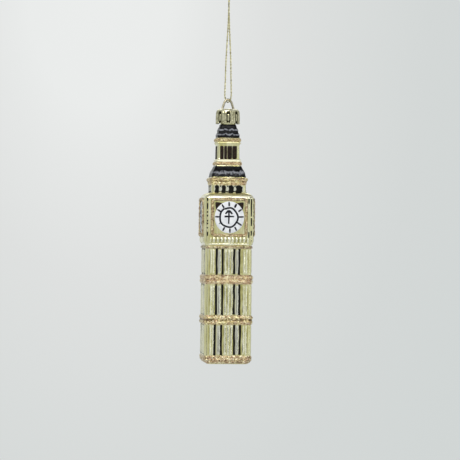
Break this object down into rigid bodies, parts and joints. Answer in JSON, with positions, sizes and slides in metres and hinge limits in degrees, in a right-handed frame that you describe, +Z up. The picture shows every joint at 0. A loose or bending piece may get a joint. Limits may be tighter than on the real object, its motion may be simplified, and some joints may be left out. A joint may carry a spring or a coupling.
{
  "type": "hanging glass christmas ornament",
  "caption": "Square clock tower blown in gold-mirrored glass with glitter trims, enamel dials and black roofs, hanging by a crown cap and wire on a gold cord loop.",
  "frame": {"origin": "the point inside the top of the cord loop that bears on the hook or twig the ornament hangs from, on the tower's vertical axis", "axes": "+Z up along the tower's axis, the front clock dial facing -Y, the hanger wire's arch in the XZ plane"},
  "size_m": [0.0294, 0.0294, 0.2147],
  "materials": {
    "gold_mirror_glass": "silvered inside, clear greenish-gold lacquer outside, mirror bright with a blown waviness",
    "rose_glitter": "coarse champagne and rose-gold glitter in raised clear glue",
    "black_enamel": "thick glossy black enamel with brushed edges",
    "white_enamel": "thick white enamel, slightly uneven, satin",
    "gold_cap": "pale gold plated tin, pressed flutes, soft mirror",
    "hanger_steel": "pale gold plated spring wire",
    "gold_cord": "two-ply twisted metallic gold thread"
  },
  "bodies": {
    "cord": {"hanging_cord": "gold_cord", "cord_knot": "gold_cord"},
    "hanger": {"hanger_wire": "hanger_steel"},
    "crown": {"cap_crown": "gold_cap"},
    "tower": {"glass_body": "gold_mirror_glass", "glitter_base": "rose_glitter", "glitter_band_low": "rose_glitter", "glitter_band_high": "rose_glitter", "glitter_cornice": "rose_glitter", "glitter_eaves_low": "rose_glitter", "glitter_lantern_sill": "rose_glitter", "glitter_eaves_high": "rose_glitter", "dial_front": "white_enamel", "dial_back": "white_enamel", "dial_left": "white_enamel", "dial_right": "white_enamel", "dial_frame_front": "rose_glitter", "dial_frame_back": "rose_glitter", "dial_frame_left": "rose_glitter", "dial_frame_right": "rose_glitter", "roof_coat_low": "black_enamel", "roof_coat_high": "black_enamel"}
  },
  "joints": [
    {"name": "hang_swing", "type": "hinge", "parent": "cord", "child": "hanger", "pos_m": [0, 0, -0.059], "axis": [1, 0, 0], "range_deg": [-45, 45]},
    {"name": "wire_pull", "type": "slide", "parent": "hanger", "child": "crown", "axis": [0, 0, -1], "range_m": [0, 0.01]},
    {"name": "neck_turn", "type": "hinge", "parent": "crown", "child": "tower", "pos_m": [0, 0, -0.0685], "axis": [0, 0, 1], "continuous": true}
  ]
}
